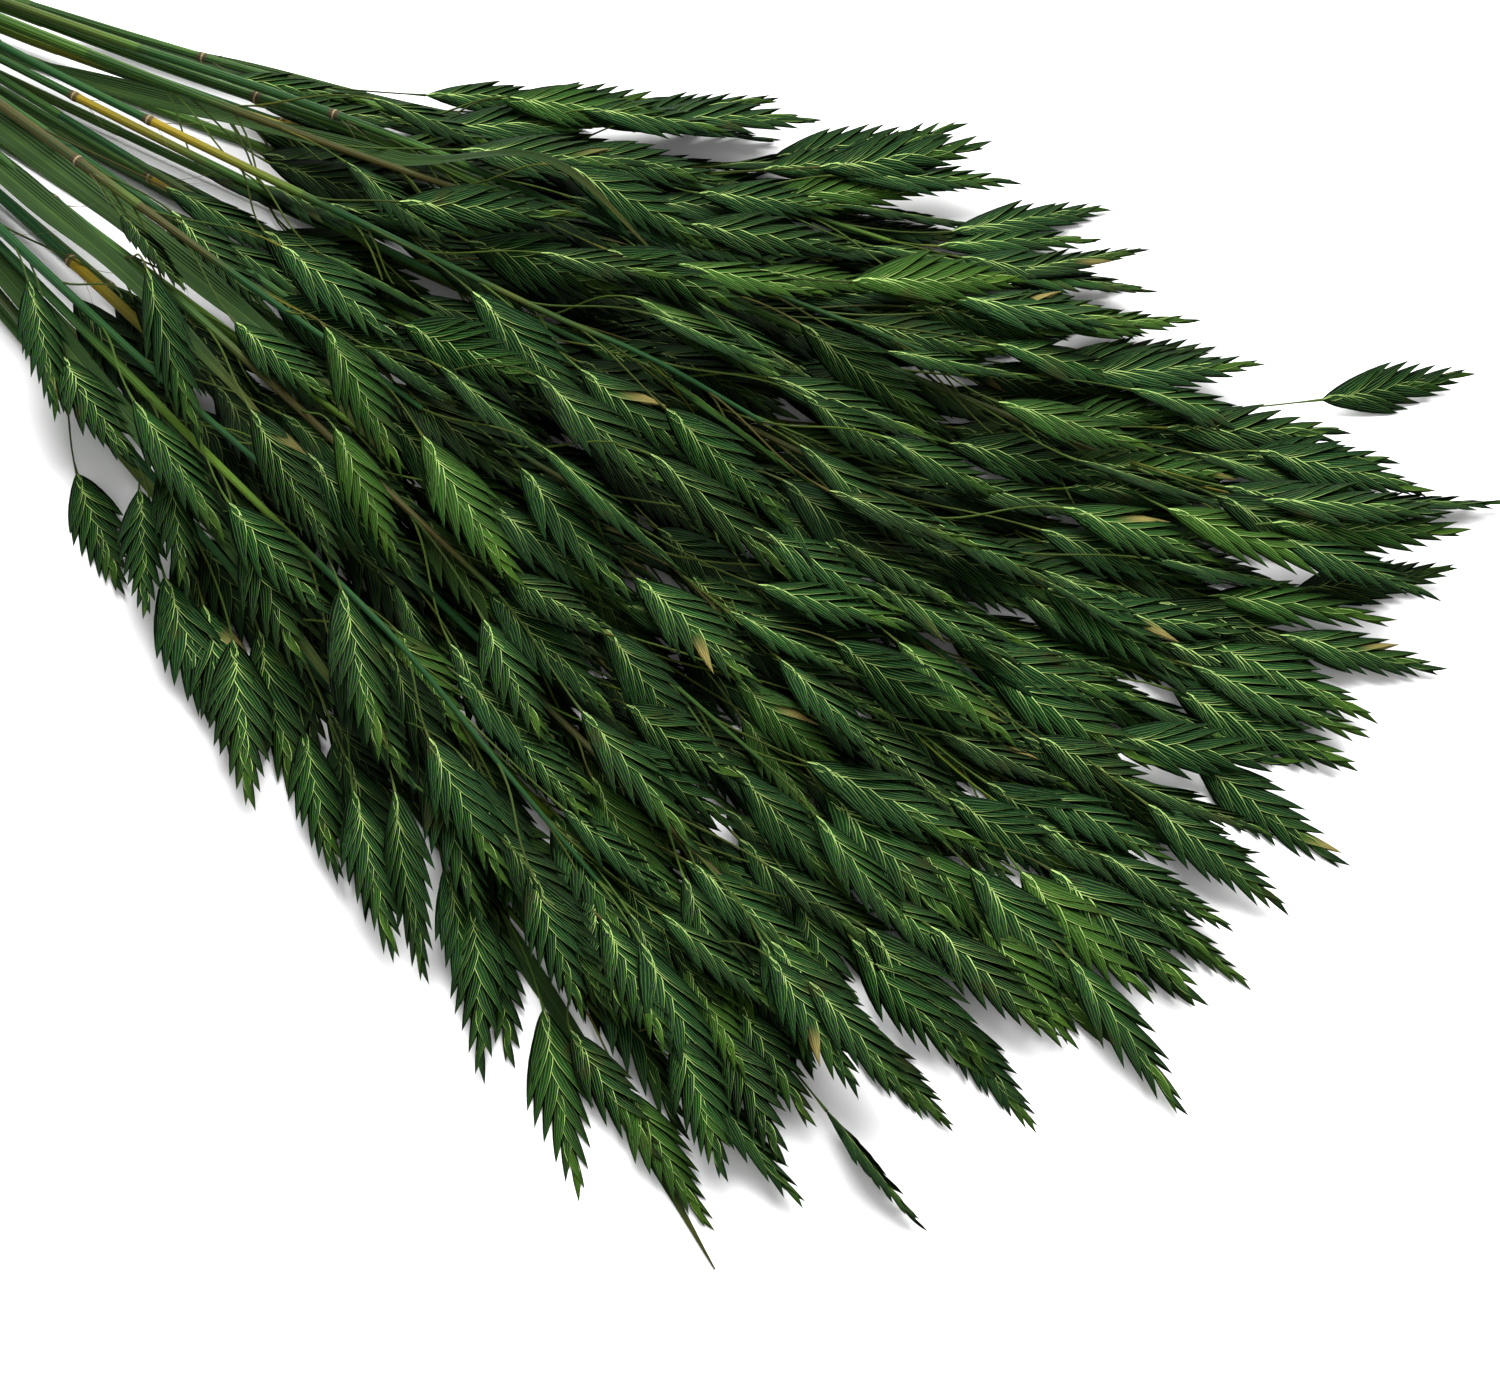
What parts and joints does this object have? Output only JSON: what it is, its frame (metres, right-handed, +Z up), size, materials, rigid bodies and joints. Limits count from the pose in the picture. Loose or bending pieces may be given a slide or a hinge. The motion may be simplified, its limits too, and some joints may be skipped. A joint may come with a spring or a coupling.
{
  "type": "dried oat grass bunch",
  "caption": "Loose bunch of dyed dried oat grass lying on its side, stems gathered at one end and fanning out to flat drooping seed heads.",
  "frame": {"origin": "middle of the bunch's footprint, on the surface it lies on", "axes": "+X along the stems from the cut ends towards the heads, +Z up out of the surface"},
  "size_m": [0.5486, 0.3102, 0.0483],
  "materials": {
    "grass_01": "satin dyed dry grass",
    "grass_02": "satin dyed dry grass",
    "grass_03": "satin dyed dry grass",
    "grass_04": "satin dyed dry grass",
    "grass_05": "satin dyed dry grass",
    "grass_06": "satin dyed dry grass",
    "grass_07": "satin dyed dry grass",
    "grass_08": "satin dyed dry grass",
    "grass_09": "satin dyed dry grass",
    "grass_10": "satin dyed dry grass",
    "grass_11": "satin dyed dry grass",
    "grass_12": "satin dyed dry grass",
    "grass_13": "satin dyed dry grass",
    "grass_14": "satin dyed dry grass",
    "grass_15": "satin dyed dry grass",
    "grass_16": "satin dyed dry grass",
    "grass_17": "satin dyed dry grass",
    "grass_18": "satin dyed dry grass",
    "grass_19": "satin dyed dry grass",
    "grass_20": "satin dyed dry grass",
    "grass_21": "satin dyed dry grass",
    "grass_22": "satin dyed dry grass",
    "grass_23": "satin dyed dry grass",
    "grass_24": "satin dyed dry grass",
    "grass_25": "satin dyed dry grass",
    "grass_26": "satin dyed dry grass"
  },
  "bodies": {
    "root": {"stem_01": "grass_01", "stem_02": "grass_02", "stem_03": "grass_03", "stem_04": "grass_04", "stem_05": "grass_05", "stem_06": "grass_06", "stem_07": "grass_07", "stem_08": "grass_08", "stem_09": "grass_09", "stem_10": "grass_10", "stem_11": "grass_11", "stem_12": "grass_12", "stem_13": "grass_13", "stem_14": "grass_14", "stem_15": "grass_15", "stem_16": "grass_16", "stem_17": "grass_17", "stem_18": "grass_18", "stem_19": "grass_19", "stem_20": "grass_20", "stem_21": "grass_21", "stem_22": "grass_22", "stem_23": "grass_23", "stem_24": "grass_24", "stem_25": "grass_25", "stem_26": "grass_26"}
  },
  "joints": []
}
